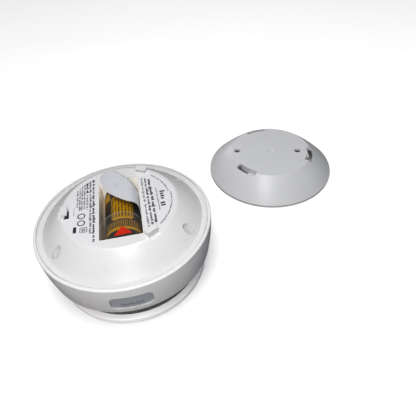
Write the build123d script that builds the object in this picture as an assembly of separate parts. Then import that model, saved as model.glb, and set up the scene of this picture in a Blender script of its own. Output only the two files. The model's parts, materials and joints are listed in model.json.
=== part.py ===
from build123d import *
import os
from math import cos, radians, sin

# A mini smoke alarm with its back up, standing on its nose, and its mounting bracket lying beside it.
# Origin: centre of the flat nose face, on the alarm's axis. +Z points out of the back, towards the ceiling
# the alarm hangs from in use. -Y is the side with the test button, and the battery bay runs along Y.
# Millimetres.

# ---- driving dimensions: the alarm's outside ----
SHELL_R = 42.0            # widest radius of the outer shell, at its rim
SHELL_MID_R = 41.5        # outer radius halfway down the wall
SHELL_LOW_R = 40.3        # outer radius just above the smoke inlet
SHELL_RIM_Z = 33.5        # top of the rim band
SHELL_MID_Z = 24.0
SHELL_LOW_Z = 15.4
SHELL_LIP_Z = 14.4        # underside of the wall, the upper lip of the smoke inlet
SHELL_WALL = 1.8
SHELL_IN_MID_R = 39.3
RIM_ROUND = 0.8
GROOVE_W = 0.45           # gap between the rim and the back cover's ring
GROOVE_DEPTH = 1.3
COVER_R = 40.2            # back cover's ring, inside the shell's rim
COVER_RING_Z = 33.1
CONE_BASE_R = 37.95
CONE_BASE_Z = 32.7
DISC_R = 26.9             # flat disc in the middle of the back
DISC_Z = 42.2
COVER_WALL = 1.6
CONE_BULGE = 0.4          # how far the cone stands proud of a straight one, halfway up
NOSE_R = 37.1
NOSE_THICK = 3.2
NOSE_TOP = 4.2            # top of the flange where it meets the grille
GRILLE_R = 34.9
GRILLE_WALL = 1.2
GRILLE_BARS = 160
GRILLE_SLIT = 0.7

# ---- driving dimensions: battery bay and cell ----
BAY_W = 18.8
BAY_L = 39.0
BAY_Y = -1.4
BAY_FLOOR_Z = 23.2
BAY_WALL = 1.4
CELL_R = 8.5              # a 17 x 34.5 mm lithium cell
CELL_L = 33.5
CELL_NUB = 1.0
CELL_Z = 32.2
CELL_END_Y = -18.4
CONTACT_GAP = 0.3         # air left between each leaf contact and the cell

# ---- driving dimensions: bayonet and bracket ----
LUG_ANGLES = (61.5, 181.5, 301.5)
LUG_W = 5.4
LUG_IN_R = 23.4
LUG_WALL_IN_R = 24.7
LUG_OUT_R = 26.3
LUG_TOP_Z = 44.4
LUG_LIP_Z = 43.4
LUG_CUT_Z = 41.2          # floor of the cut in the cone outside each lug
LUG_CUT_R = 28.3
NOTCH_AZIMUTH = 57.0      # small open notch in the cone, beside the far lug
NOTCH_IN_R = 27.2
NOTCH_OUT_R = 29.6
NOTCH_HALF_W = 1.1
NOTCH_FLOOR_Z = 38.5
BRACKET_AT = (92.6, 58.9)
BRACKET_TURN = -14.5      # direction of its line of screw holes
BRACKET_R = 38.8
BRACKET_DISC_R = 25.0
BRACKET_H = 13.3
BRACKET_DISC_T = 1.5
BRACKET_CONE_T = 1.7      # measured straight up through the sloping wall
BRACKET_RIM_IN_R = 37.6
BRACKET_HOLES_X = (-21.1, 17.1)
BRACKET_HOLE_R = 2.0
POCKET_STARTS = (-143.9, -23.9, 96.1)
POCKET_ENTRY = 17.0       # degrees that are open right through
POCKET_SPAN = 31.0
POCKET_IN_R = 22.8
POCKET_OUT_R = 26.6
POCKET_LEDGE_OUT_R = 24.4
POCKET_DEPTH = 3.3
POCKET_FLOOR = 0.8

# ---- driving dimensions: fasteners, button, electronics ----
SCREW_ANGLES = (31.6, 148.4, 211.6, 328.4)
SCREW_AT_R = 34.0
WELL_R = 2.4
WELL_FLOOR_Z = 27.0
WELL_FLOOR_T = 1.4
SCREW_R = 1.3
SCREW_HEAD_R = 2.0
SCREW_HEAD_H = 1.8
SCREW_L = 8.0
PLUG_LOW_Z = 29.4
PLUG_SUNK = 1.3           # below the cone, measured straight down
PLUG_GAP = 0.1
BUTTON_W = 18.0
BUTTON_H = 9.0
BUTTON_CORNER = 2.4
BUTTON_Z = 23.0
BUTTON_GAP = 0.25
BUTTON_SUNK = 0.55
BOARD_R = 36.6
BOARD_Z = 19.4
BOARD_T = 1.6
CHAMBER_AT = (-15.8, 5.0)
SOUNDER_AT = (15.2, 5.0)

SHELF_Z = 15.6            # underside of the shell's inner shelf, which closes the smoke inlet's top
SHELF_T = 1.5
CONE_SLOPE = (DISC_Z - CONE_BASE_Z) / (CONE_BASE_R - DISC_R)
BOARD_TOP = BOARD_Z + BOARD_T


# ---- helpers ----
def section(start, *steps):
    """A closed face. A step is a point, for a straight run, or a pair of points, for an arc through the first."""
    edges = []
    here = start
    for step in steps:
        if isinstance(step[0], tuple):
            edges.append(ThreePointArc(here, *step))
            here = step[1]
        else:
            edges.append(Line(here, step))
            here = step
    if here != start:
        edges.append(Line(here, start))
    return make_face(edges)


def turned(face):
    """Revolves a section drawn as (radius, height) about the alarm's axis."""
    return revolve(Plane.XZ * face, Axis.Z)


def ring(outer, inner, low, high, at=(0, 0)):
    """A plain tube between two heights."""
    tube = extrude(Circle(outer) - Circle(inner), high - low)
    return Pos(at[0], at[1], low) * tube


def disc(radius, low, high, at=(0, 0)):
    return Pos(at[0], at[1], low) * extrude(Circle(radius), high - low)


def block(low, high):
    """A box between two corners."""
    size = [high[i] - low[i] for i in range(3)]
    centre = [(high[i] + low[i]) / 2 for i in range(3)]
    return Pos(*centre) * Box(*size)


def rod_y(radius, x, z, near, far):
    """A round rod along Y."""
    return Pos(x, near, z) * Rot(-90, 0, 0) * extrude(Circle(radius), far - near)


def sector(inner, outer, start, span, low, high):
    """A block bent round the axis: part of a tube, from one azimuth for so many degrees."""
    begin, middle, end = (radians(start + span * part) for part in (0, 0.5, 1))

    def point(radius, angle):
        return (radius * cos(angle), radius * sin(angle))

    edges = [
        ThreePointArc(point(outer, begin), point(outer, middle), point(outer, end)),
        Line(point(outer, end), point(inner, end)),
        ThreePointArc(point(inner, end), point(inner, middle), point(inner, begin)),
        Line(point(inner, begin), point(outer, begin)),
    ]
    return Pos(0, 0, low) * extrude(make_face(edges), high - low)


def around(shape, angles):
    """Copies of a shape, turned about the axis."""
    return [Rot(0, 0, angle) * shape for angle in angles]


def button_prism(grow):
    """The test button's outline grown all round, lying in XZ and extruded along -Y through the wall."""
    depth_from, depth_to = 36.0, 46.0
    outline = RectangleRounded(BUTTON_W + 2 * grow, BUTTON_H + 2 * grow, BUTTON_CORNER + grow)
    face = Plane((0, -depth_from, BUTTON_Z), x_dir=(1, 0, 0), z_dir=(0, -1, 0)) * outline
    return extrude(face, depth_to - depth_from)


def wall_layer(outer_offset, inner_offset):
    """The shell's outer wall as a solid of revolution, sunk by the two offsets."""
    return turned(
        section(
            (SHELL_R - outer_offset, SHELL_RIM_Z),
            ((SHELL_MID_R - outer_offset, SHELL_MID_Z), (SHELL_LOW_R - outer_offset, SHELL_LOW_Z)),
            (SHELL_LOW_R - inner_offset, SHELL_LOW_Z),
            ((SHELL_MID_R - inner_offset, SHELL_MID_Z), (SHELL_R - inner_offset, SHELL_RIM_Z)),
        )
    )


parts = {}


# ---- outside of the alarm ----
def outer_shell():
    """Tapered outer wall with a rounded rim, a ledge for the back cover, and a shelf above the smoke inlet."""
    ledge_z = COVER_RING_Z - COVER_WALL
    groove_r = COVER_R + GROOVE_W
    groove_floor_z = SHELL_RIM_Z - GROOVE_DEPTH
    seat_r = COVER_R + 0.1
    inner_r = 39.4
    shelf_in_r = 33.3
    lip_in = 1.1
    lip_mid_in, lip_mid_up = 0.45, 0.22
    boss_r = 3.0
    pilot_gap = 0.05
    shelf_top = SHELF_Z + SHELF_T
    low_in_r = SHELL_LOW_R - SHELL_WALL
    round_mid = RIM_ROUND * (1 - cos(radians(45)))
    body = turned(
        section(
            (groove_r, SHELL_RIM_Z),
            (SHELL_R - RIM_ROUND, SHELL_RIM_Z),
            ((SHELL_R - round_mid, SHELL_RIM_Z - round_mid), (SHELL_R, SHELL_RIM_Z - RIM_ROUND)),
            ((SHELL_MID_R, SHELL_MID_Z), (SHELL_LOW_R, SHELL_LOW_Z)),
            ((SHELL_LOW_R - lip_mid_in, SHELL_LIP_Z + lip_mid_up), (SHELL_LOW_R - lip_in, SHELL_LIP_Z)),
            (low_in_r, SHELL_LIP_Z),
            (low_in_r, SHELF_Z),
            (shelf_in_r, SHELF_Z),
            (shelf_in_r, shelf_top),
            (low_in_r, shelf_top),
            ((SHELL_IN_MID_R, SHELL_MID_Z), (inner_r, ledge_z)),
            (seat_r, ledge_z),
            (seat_r, groove_floor_z),
            (groove_r, groove_floor_z),
        )
    )
    boss_top = WELL_FLOOR_Z - WELL_FLOOR_T
    boss = disc(boss_r, shelf_top, boss_top, (SCREW_AT_R, 0))
    pilot = disc(SCREW_R + pilot_gap, boss_top - SCREW_L, boss_top, (SCREW_AT_R, 0))
    body = body + around(boss, SCREW_ANGLES) - around(pilot, SCREW_ANGLES)
    return body - button_prism(BUTTON_GAP)


def nose_cap():
    """Nose disc with a rounded lower edge, a sloping flange that carries the grille, and three posts to the board."""
    edge = 0.7
    mid = edge * (1 - cos(radians(45)))
    top_edge = 0.4
    plate = 1.6
    rim_wall = 1.2
    rim_in_r = GRILLE_R - GRILLE_WALL - rim_wall
    post_r = 1.8
    post_at = 30.0
    cap = turned(
        section(
            (0, 0),
            (NOSE_R - edge, 0),
            ((NOSE_R - mid, mid), (NOSE_R, edge)),
            (NOSE_R, NOSE_THICK - top_edge),
            (NOSE_R - top_edge, NOSE_THICK),
            (GRILLE_R, NOSE_TOP),
            (rim_in_r, NOSE_TOP),
            (rim_in_r, plate),
            (0, plate),
        )
    )
    post = disc(post_r, plate, BOARD_Z, (post_at, 0))
    return cap + around(post, (90, 240, 300))


def inlet_grille():
    """Thin ring of fine upright bars between the nose cap and the shell's shelf, which smoke passes through."""
    low_band, high_band = 0.5, 1.4
    slit_low = NOSE_TOP + low_band
    slit_high = SHELF_Z - high_band
    tube = ring(GRILLE_R, GRILLE_R - GRILLE_WALL, NOSE_TOP, SHELF_Z)
    slit = block(
        (GRILLE_R - 2 * GRILLE_WALL, -GRILLE_SLIT / 2, slit_low),
        (GRILLE_R + GRILLE_WALL, GRILLE_SLIT / 2, slit_high),
    )
    return tube - around(slit, [360 / GRILLE_BARS * i for i in range(GRILLE_BARS)])


def cone_height(radius):
    """Height of the straight cone that the bulged one is drawn over."""
    return CONE_BASE_Z + (CONE_BASE_R - radius) * CONE_SLOPE


def bulged(start, end):
    """An arc step from start to end that stands proud of the straight cone by the bulge."""
    middle = ((start[0] + end[0]) / 2, (start[1] + end[1]) / 2)
    length = (1 + CONE_SLOPE**2) ** 0.5
    return ((middle[0] + CONE_BULGE * CONE_SLOPE / length, middle[1] + CONE_BULGE / length), end)


def below_cone(depth):
    """Everything inside the back that lies this far or more under the straight cone, measured straight down."""
    return turned(
        section(
            (0, BOARD_Z),
            (CONE_BASE_R, BOARD_Z),
            (CONE_BASE_R, CONE_BASE_Z - depth),
            (DISC_R, DISC_Z - depth),
            (0, DISC_Z - depth),
        )
    )


def lug():
    """One bayonet lug: an upright wall on the edge of the disc with a lip over its inner side."""
    root = 1.2
    foot = DISC_Z - root
    wall = block((LUG_WALL_IN_R, -LUG_W / 2, foot), (LUG_OUT_R, LUG_W / 2, LUG_TOP_Z))
    lip = block((LUG_IN_R, -LUG_W / 2, LUG_LIP_Z), (LUG_WALL_IN_R, LUG_W / 2, LUG_TOP_Z))
    return wall + lip


def back_cover():
    """Back of the alarm: ring, cone and flat disc in one, with the battery bay, bayonet lugs and screw wells."""
    rise = COVER_WALL * (1 + CONE_SLOPE**2) ** 0.5
    inner_top = DISC_Z - COVER_WALL
    ledge_z = COVER_RING_Z - COVER_WALL
    step_r = CONE_BASE_R + 0.35
    ring_edge = 0.3
    skirt_out_r, skirt_in_r, skirt_h = 39.1, 37.9, 2.0
    well_wall_t = 1.2
    hole_gap = 0.2
    bay_corner, bay_box_corner = 0.5, 1.6
    bay_top_z = DISC_Z - 1
    disc_corner = 0.5
    corner_mid = (DISC_R - 0.08, DISC_Z - 0.13)
    cone_top = (DISC_R + disc_corner, cone_height(DISC_R + disc_corner))
    skin = section(
        (0, DISC_Z),
        (DISC_R - disc_corner, DISC_Z),
        (corner_mid, cone_top),
        bulged(cone_top, (CONE_BASE_R, CONE_BASE_Z)),
        (step_r, CONE_BASE_Z),
        (step_r, COVER_RING_Z),
        (COVER_R - ring_edge, COVER_RING_Z),
        (COVER_R, COVER_RING_Z - ring_edge),
        (COVER_R, ledge_z),
        (skirt_out_r, ledge_z),
        (skirt_out_r, ledge_z - skirt_h),
        (skirt_in_r, ledge_z - skirt_h),
        (skirt_in_r, ledge_z),
        (CONE_BASE_R - (ledge_z - CONE_BASE_Z + rise) / CONE_SLOPE, ledge_z),
        (CONE_BASE_R - (inner_top - CONE_BASE_Z + rise) / CONE_SLOPE, inner_top),
        (0, inner_top),
    )
    well_blank = disc(WELL_R + well_wall_t, WELL_FLOOR_Z - WELL_FLOOR_T, DISC_Z, (SCREW_AT_R, 0))
    well_wall = well_blank & below_cone(0.3)
    well = disc(WELL_R, WELL_FLOOR_Z, DISC_Z + 1, (SCREW_AT_R, 0))
    screw_hole = disc(SCREW_R + hole_gap, BOARD_TOP, WELL_FLOOR_Z + 1, (SCREW_AT_R, 0))
    bay_box = Pos(0, BAY_Y, BAY_FLOOR_Z - BAY_WALL) * extrude(
        RectangleRounded(BAY_W + 2 * BAY_WALL, BAY_L + 2 * BAY_WALL, bay_box_corner),
        bay_top_z - BAY_FLOOR_Z + BAY_WALL,
    )
    bay_outline = RectangleRounded(BAY_W, BAY_L, bay_corner)
    bay = Pos(0, BAY_Y, BAY_FLOOR_Z) * extrude(bay_outline, DISC_Z - BAY_FLOOR_Z + 1)
    notch = Rot(0, 0, NOTCH_AZIMUTH) * block(
        (NOTCH_IN_R, -NOTCH_HALF_W, NOTCH_FLOOR_Z), (NOTCH_OUT_R, NOTCH_HALF_W, DISC_Z + 1)
    )
    lug_cut = block((LUG_OUT_R, -LUG_W / 2, LUG_CUT_Z), (LUG_CUT_R, LUG_W / 2, DISC_Z + 1))
    body = turned(skin) + around(well_wall, SCREW_ANGLES) + bay_box
    body = body - bay - around(well, SCREW_ANGLES) - around(screw_hole, SCREW_ANGLES)
    return body - around(lug_cut, LUG_ANGLES) + around(lug(), LUG_ANGLES) - notch


def rating_label(side):
    """Paper label on one side of the bay, cut round the bayonet lugs. side is +1 for +X and -1 for -X."""
    edge_x = 10.5
    edge_r = 25.7
    thick = 0.12
    lug_gap_in, lug_gap_side = 0.5, 0.8
    notch_in_r = LUG_IN_R - lug_gap_in
    half_notch = LUG_W / 2 + lug_gap_side
    paper = disc(edge_r, DISC_Z, DISC_Z + thick)
    paper = paper & block((edge_x, -edge_r, DISC_Z), (edge_r + 1, edge_r, DISC_Z + thick))
    if side < 0:
        paper = Rot(0, 0, 180) * paper
    notch = block((notch_in_r, -half_notch, DISC_Z - 1), (edge_r + 1, half_notch, DISC_Z + 1))
    return paper - around(notch, LUG_ANGLES)


def housing_screws():
    """Four pan-head screws with crossed slots, one at the bottom of each well."""
    head_top = WELL_FLOOR_Z + SCREW_HEAD_H
    shank = disc(SCREW_R, WELL_FLOOR_Z - SCREW_L, WELL_FLOOR_Z, (SCREW_AT_R, 0))
    head = disc(SCREW_HEAD_R, WELL_FLOOR_Z, head_top, (SCREW_AT_R, 0))
    slot_l, slot_w, slot_d = 1.6, 0.35, 1.0
    slot_a = block(
        (SCREW_AT_R - slot_l, -slot_w, head_top - slot_d), (SCREW_AT_R + slot_l, slot_w, head_top + 1)
    )
    slot_b = block(
        (SCREW_AT_R - slot_w, -slot_l, head_top - slot_d), (SCREW_AT_R + slot_w, slot_l, head_top + 1)
    )
    screw = shank + head - slot_a - slot_b
    return Compound(children=around(screw, SCREW_ANGLES))


def screw_plugs():
    """Four plastic plugs that cover the screws. Each is a cup, open side down, whose top slopes with the cone."""
    radius = WELL_R - PLUG_GAP
    wall = 0.9
    low_edge_z = cone_height(SCREW_AT_R + radius) - PLUG_SUNK
    plug = disc(radius, PLUG_LOW_Z, DISC_Z, (SCREW_AT_R, 0)) & below_cone(PLUG_SUNK)
    hollow = disc(radius - wall, PLUG_LOW_Z - 1, low_edge_z - wall, (SCREW_AT_R, 0))
    return Compound(children=around(plug - hollow, SCREW_ANGLES))


# ---- test button and its switch ----
STEM_FOOT_Y = -39.2
PLUNGER_TIP_Y = -34.0
PLUNGER_R = 1.2
SWITCH_FRONT_Y = -32.4
SWITCH_BACK_Y = -28.8


def test_button():
    """Rounded push plate that follows the wall's curve, with a retaining flange inside and a stem to the switch."""
    flange_grow = 0.95
    flange_gap, flange_t = 0.35, 0.9
    stem_r = 1.5
    flange_from = SHELL_MID_R - SHELL_IN_MID_R + flange_gap
    flange_to = flange_from + flange_t
    plate = button_prism(0) & wall_layer(BUTTON_SUNK, flange_to)
    flange = button_prism(flange_grow) & wall_layer(flange_from, flange_to)
    stem = rod_y(stem_r, 0, BUTTON_Z, STEM_FOOT_Y, PLUNGER_TIP_Y)
    return plate + flange + stem


def tact_switch():
    """Square side-acting switch on the board, with a bore for its plunger."""
    half, height = 3.0, 4.0
    bore_r, bore_depth = PLUNGER_R + 0.08, 1.6
    body = block((-half, SWITCH_FRONT_Y, BOARD_TOP), (half, SWITCH_BACK_Y, BOARD_TOP + height))
    return body - rod_y(bore_r, 0, BUTTON_Z, SWITCH_FRONT_Y - 1, SWITCH_FRONT_Y + bore_depth)


def switch_plunger():
    inside = 0.8
    return rod_y(PLUNGER_R, 0, BUTTON_Z, PLUNGER_TIP_Y, SWITCH_FRONT_Y + inside)


# ---- battery ----
def battery_cell():
    """Sleeved can with rounded shoulders."""
    shoulder = 0.5
    mid = shoulder * (1 - cos(radians(45)))
    profile = section(
        (0, 0),
        (CELL_R - shoulder, 0),
        ((CELL_R - mid, mid), (CELL_R, shoulder)),
        (CELL_R, CELL_L - shoulder),
        ((CELL_R - mid, CELL_L - mid), (CELL_R - shoulder, CELL_L)),
        (0, CELL_L),
    )
    return Pos(0, CELL_END_Y, CELL_Z) * Rot(-90, 0, 0) * turned(profile)


def battery_positive_cap():
    cap_r = 3.2
    near = CELL_END_Y + CELL_L
    return rod_y(cap_r, 0, CELL_Z, near, near + CELL_NUB)


def bay_contact(wall_y, reach_y):
    """Bowed leaf contact on a flat back plate, standing against one end wall of the bay."""
    side = 1 if reach_y > wall_y else -1
    plate_t, plate_half_w = 0.4, 4.5
    leaf_t, leaf_half_w = 0.3, 3.0
    leaf_end, leaf_inner_end = 0.5, 1.1
    sunk = 0.05
    low, high = CELL_Z - 6.5, CELL_Z + 5.0
    near, far = sorted((wall_y, wall_y + side * plate_t))
    plate = block((-plate_half_w, near, low), (plate_half_w, far, high))
    inner = wall_y + side * (plate_t - sunk)
    bow = section(
        (inner, low + leaf_end),
        ((reach_y, CELL_Z), (inner, high - leaf_end)),
        (inner, high - leaf_inner_end),
        ((reach_y - side * leaf_t, CELL_Z), (inner, low + leaf_inner_end)),
    )
    leaf = extrude(Plane((-leaf_half_w, 0, 0), x_dir=(0, 1, 0), z_dir=(1, 0, 0)) * bow, 2 * leaf_half_w)
    return plate + leaf


# ---- pull tab: one ribbon with two ends ----
FILM_Z = 41.25
FILM_T = 0.15
RIBBON_X = 8.85


def pull_tab_film():
    """Clear tongue over the cell's near end, and the edge strip that runs beside the cell to the leaf."""
    tip_y = -13.5
    end_gap = 0.4
    near_y = BAY_Y - BAY_L / 2 + end_gap
    half = RIBBON_X + FILM_T
    strip_low, strip_top, strip_far_y = 32.0, 37.0, 7.0
    tongue = block((-half, near_y, FILM_Z), (half, tip_y, FILM_Z + FILM_T))
    tip = disc(half, FILM_Z, FILM_Z + FILM_T, (0, tip_y)) & block((-half, tip_y, FILM_Z - 1), (half, 0, FILM_Z + 1))
    fold = block((RIBBON_X, near_y, strip_low), (half, tip_y, FILM_Z + FILM_T))
    strip = block((RIBBON_X, near_y, strip_low), (half, strip_far_y, strip_top))
    return tongue + tip + fold + strip


def pull_tab_arrow():
    """Printed triangle on the tongue, pointing along the bay."""
    outline = Polyline((-3.2, -18.9), (4.8, -18.6), (0.4, -13.6), close=True)
    ink_t = 0.08
    return Pos(0, 0, FILM_Z + FILM_T) * extrude(make_face(outline), ink_t)


def pull_tab_leaf():
    """White leaf end of the ribbon: it rises out of the gap beside the cell and arches over the bay's far half."""
    thick = 0.25
    foot_z, bend_z = 34.0, 38.5
    inner_x = RIBBON_X - thick
    arch = section(
        (RIBBON_X, foot_z),
        (RIBBON_X, bend_z),
        ((7.4, 42.7), (3.0, 44.4)),
        ((-3.0, 44.6), (-9.0, 43.0)),
        (-9.0, 43.0 - thick),
        ((-3.0, 44.6 - thick), (3.0, 44.4 - thick)),
        ((7.4 - thick, 42.7 - thick), (inner_x, bend_z)),
        (inner_x, foot_z),
    )
    sheet = Pos(0, 30, 0) * extrude(Plane.XZ * arch, 40)
    outline = make_face(
        [
            Line((9.5, -1.5), (9.5, 7.0)),
            ThreePointArc((9.5, 7.0), (4.4, 15.2), (-2.4, 22.9)),
            ThreePointArc((-2.4, 22.9), (-6.2, 23.4), (-8.6, 20.4)),
            ThreePointArc((-8.6, 20.4), (-4.4, 6.6), (4.4, -1.2)),
            Line((4.4, -1.2), (9.5, -1.5)),
        ]
    )
    return sheet & (Pos(0, 0, 30) * extrude(outline, 20))


# ---- electronics ----
def circuit_board():
    """Round board with notches for the screw bosses."""
    notch_r = 3.5
    board = disc(BOARD_R, BOARD_Z, BOARD_TOP)
    notch = disc(notch_r, BOARD_Z - 1, BOARD_TOP + 1, (SCREW_AT_R, 0))
    slot = block((SCREW_AT_R, -notch_r, BOARD_Z - 1), (BOARD_R + 1, notch_r, BOARD_TOP + 1))
    return board - around(notch, SCREW_ANGLES) - around(slot, SCREW_ANGLES)


def control_chip():
    """Flat chip with its leads in two rows."""
    near_x, far_x, half_l = 14.0, 20.0, 4.0
    stand, top = 0.2, 1.6
    lead_l, lead_w, lead_h, lead_pitch = 1.0, 0.4, 0.6, 1.2
    first_lead_y = -3.4
    body = block((near_x, -half_l, BOARD_TOP + stand), (far_x, half_l, BOARD_TOP + top))
    leads = []
    for low_x in (near_x - lead_l, far_x):
        for i in range(6):
            low_y = first_lead_y + lead_pitch * i
            leads.append(block((low_x, low_y, BOARD_TOP), (low_x + lead_l, low_y + lead_w, BOARD_TOP + lead_h)))
    return body + leads


def boost_coil():
    """Drum core of the sounder's boost coil, with its winding as the waist."""
    at = (-18.0, -10.0)
    flange_r, flange_t = 4.0, 0.9
    waist_r, waist_h = 3.3, 3.2
    waist_top = BOARD_TOP + flange_t + waist_h
    foot = disc(flange_r, BOARD_TOP, BOARD_TOP + flange_t, at)
    waist = disc(waist_r, BOARD_TOP + flange_t, waist_top, at)
    return foot + waist + disc(flange_r, waist_top, waist_top + flange_t, at)


def reservoir_capacitor():
    can_r, can_h = 3.15, 7.0
    return disc(can_r, BOARD_TOP, BOARD_TOP + can_h, (-18.0, 10.0))


def status_led():
    """Small domed lamp behind the test button, which lights through it."""
    at = (6.0, -33.4)
    lamp_r, lamp_h = 1.2, 2.0
    dome = Pos(at[0], at[1], BOARD_TOP + lamp_h) * Sphere(lamp_r)
    return disc(lamp_r, BOARD_TOP, BOARD_TOP + lamp_h, at) + dome


CHAMBER_LOW_Z = 4.6
CHAMBER_HIGH_Z = 16.6     # where the chamber's base begins
OPTICS_Z = 16.8


def chamber_base():
    """Round base of the optical chamber, fixed under the board."""
    base_r, recess_r, recess_top = 14.6, 11.0, 18.4
    base = disc(base_r, CHAMBER_HIGH_Z, BOARD_Z, CHAMBER_AT)
    return base - disc(recess_r, CHAMBER_HIGH_Z - 1, recess_top, CHAMBER_AT)


def chamber_cover():
    """Labyrinth: a round plate with upright slanted vanes that let smoke in and keep light out."""
    plate_r, plate_t = 15.0, 1.2
    vanes, vane_at, vane_l, vane_t, vane_slant = 18, 13.0, 4.4, 0.9, 40
    height = CHAMBER_HIGH_Z - CHAMBER_LOW_Z
    vane = Pos(vane_at, 0, CHAMBER_LOW_Z + height / 2) * Rot(0, 0, vane_slant) * Box(vane_l, vane_t, height)
    cup = disc(plate_r, CHAMBER_LOW_Z, CHAMBER_LOW_Z + plate_t)
    fins = around(vane, [360 / vanes * i for i in range(vanes)])
    return Pos(CHAMBER_AT[0], CHAMBER_AT[1], 0) * (cup + fins)


def insect_mesh():
    """Perforated screen round the labyrinth."""
    outer, inner, band = 15.6, 15.35, 0.8
    holes, hole_half_w = 60, 0.3
    tube = ring(outer, inner, CHAMBER_LOW_Z, CHAMBER_HIGH_Z)
    hole = block(
        (inner - 1, -hole_half_w, CHAMBER_LOW_Z + band), (outer + 1, hole_half_w, CHAMBER_HIGH_Z - band)
    )
    return Pos(CHAMBER_AT[0], CHAMBER_AT[1], 0) * (tube - around(hole, [360 / holes * i for i in range(holes)]))


def chamber_part(angle, shape):
    """Places something in the chamber at an azimuth about the chamber's own centre."""
    return Pos(CHAMBER_AT[0], CHAMBER_AT[1], 0) * Rot(0, 0, angle) * shape


def ir_emitter():
    """Round lamp lying across the chamber, aimed at its middle."""
    lamp_r, lamp_l, nose_at, azimuth = 1.5, 3.4, 6.5, 20
    barrel = Pos(nose_at, 0, OPTICS_Z) * Rot(0, 90, 0) * extrude(Circle(lamp_r), lamp_l)
    nose = Pos(nose_at, 0, OPTICS_Z) * Sphere(lamp_r)
    return chamber_part(azimuth, barrel + nose)


def photodiode():
    """Square light sensor, set so that it cannot see the emitter directly."""
    azimuth = 155
    return chamber_part(azimuth, block((6.2, -2.0, 15.0), (7.8, 2.0, 18.4)))


DIAPHRAGM_Z = 12.0        # underside of the sounder's brass disc
BRASS_TOP_Z = 12.25
CERAMIC_TOP_Z = 12.45


def sounder_housing():
    """Resonator cup round the piezo disc, with its port facing the nose."""
    low, high, floor_t = 7.0, 17.4, 1.2
    wall_out_r, wall_in_r, floor_r, port_r = 14.0, 12.9, 13.4, 3.0
    ledge_out_r, ledge_in_r, ledge_t = 13.2, 11.6, 1.0
    cup = ring(wall_out_r, wall_in_r, low, high) + disc(floor_r, low, low + floor_t)
    ledge = ring(ledge_out_r, ledge_in_r, DIAPHRAGM_Z - ledge_t, DIAPHRAGM_Z)
    port = disc(port_r, low - 1, low + 2)
    return Pos(SOUNDER_AT[0], SOUNDER_AT[1], 0) * (cup + ledge - port)


def piezo_disc():
    brass_r = 12.7
    return disc(brass_r, DIAPHRAGM_Z, BRASS_TOP_Z, SOUNDER_AT)


def piezo_ceramic():
    ceramic_r = 9.0
    return disc(ceramic_r, BRASS_TOP_Z, CERAMIC_TOP_Z, SOUNDER_AT)


def sounder_pins():
    """Three spring pins from the board down to the piezo disc: two to the brass and one to the ceramic."""
    pin_r = 0.5
    places = ((11.0, BRASS_TOP_Z), (10.4, BRASS_TOP_Z), (5.0, CERAMIC_TOP_Z))
    pins = [
        Rot(0, 0, 120 * i) * disc(pin_r, low, BOARD_Z, (radius, 0)) for i, (radius, low) in enumerate(places)
    ]
    return Compound(children=[Pos(SOUNDER_AT[0], SOUNDER_AT[1], 0) * pin for pin in pins])


# ---- mounting bracket ----
def mounting_bracket():
    """Round dish that screws to the ceiling: flat disc, cone, rim, and three bayonet pockets."""
    foot_edge = 0.3
    dimple_r, dimple_depth = 6.0, 0.4
    cup_wall, cup_sunk, wall_span = 1.2, 0.5, 3.0
    cup_top = BRACKET_H - cup_sunk
    rim_top = BRACKET_H - (BRACKET_R - BRACKET_DISC_R) * CONE_SLOPE
    under = BRACKET_H - BRACKET_DISC_T
    inner_line = BRACKET_H - BRACKET_CONE_T
    inner_disc_r = BRACKET_DISC_R - (under - inner_line) / CONE_SLOPE
    inner_rim_z = inner_line - (BRACKET_RIM_IN_R - BRACKET_DISC_R) * CONE_SLOPE
    dish = turned(
        section(
            (0, BRACKET_H),
            (BRACKET_DISC_R, BRACKET_H),
            bulged((BRACKET_DISC_R, BRACKET_H), (BRACKET_R, rim_top)),
            (BRACKET_R, foot_edge),
            (BRACKET_R - foot_edge, 0),
            (BRACKET_RIM_IN_R, 0),
            (BRACKET_RIM_IN_R, inner_rim_z),
            (inner_disc_r, under),
            (0, under),
        )
    )
    ledge_top = BRACKET_H - POCKET_DEPTH
    ledge_low = ledge_top - POCKET_FLOOR
    hole = disc(BRACKET_HOLE_R, -1, BRACKET_H + 1)
    dimple = Pos(0, 0, BRACKET_H + dimple_r - dimple_depth) * Sphere(dimple_r)
    body = dish - [Pos(x, 0, 0) * hole for x in BRACKET_HOLES_X] - dimple
    ledge_span = POCKET_SPAN - POCKET_ENTRY
    for start in POCKET_STARTS:
        opening = sector(POCKET_IN_R, POCKET_OUT_R, start, POCKET_SPAN, -1, BRACKET_H + 1)
        ledge_from = start + POCKET_ENTRY
        ledge = sector(POCKET_IN_R, POCKET_LEDGE_OUT_R, ledge_from, ledge_span + wall_span, ledge_low, ledge_top)
        inner = sector(POCKET_IN_R - cup_wall, POCKET_IN_R, start, POCKET_SPAN + wall_span, ledge_low, cup_top)
        stop = sector(POCKET_IN_R, POCKET_LEDGE_OUT_R, start + POCKET_SPAN, wall_span, ledge_low, cup_top)
        body = body - opening + ledge + inner + stop
    return Pos(*BRACKET_AT, 0) * Rot(0, 0, BRACKET_TURN) * body


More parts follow.
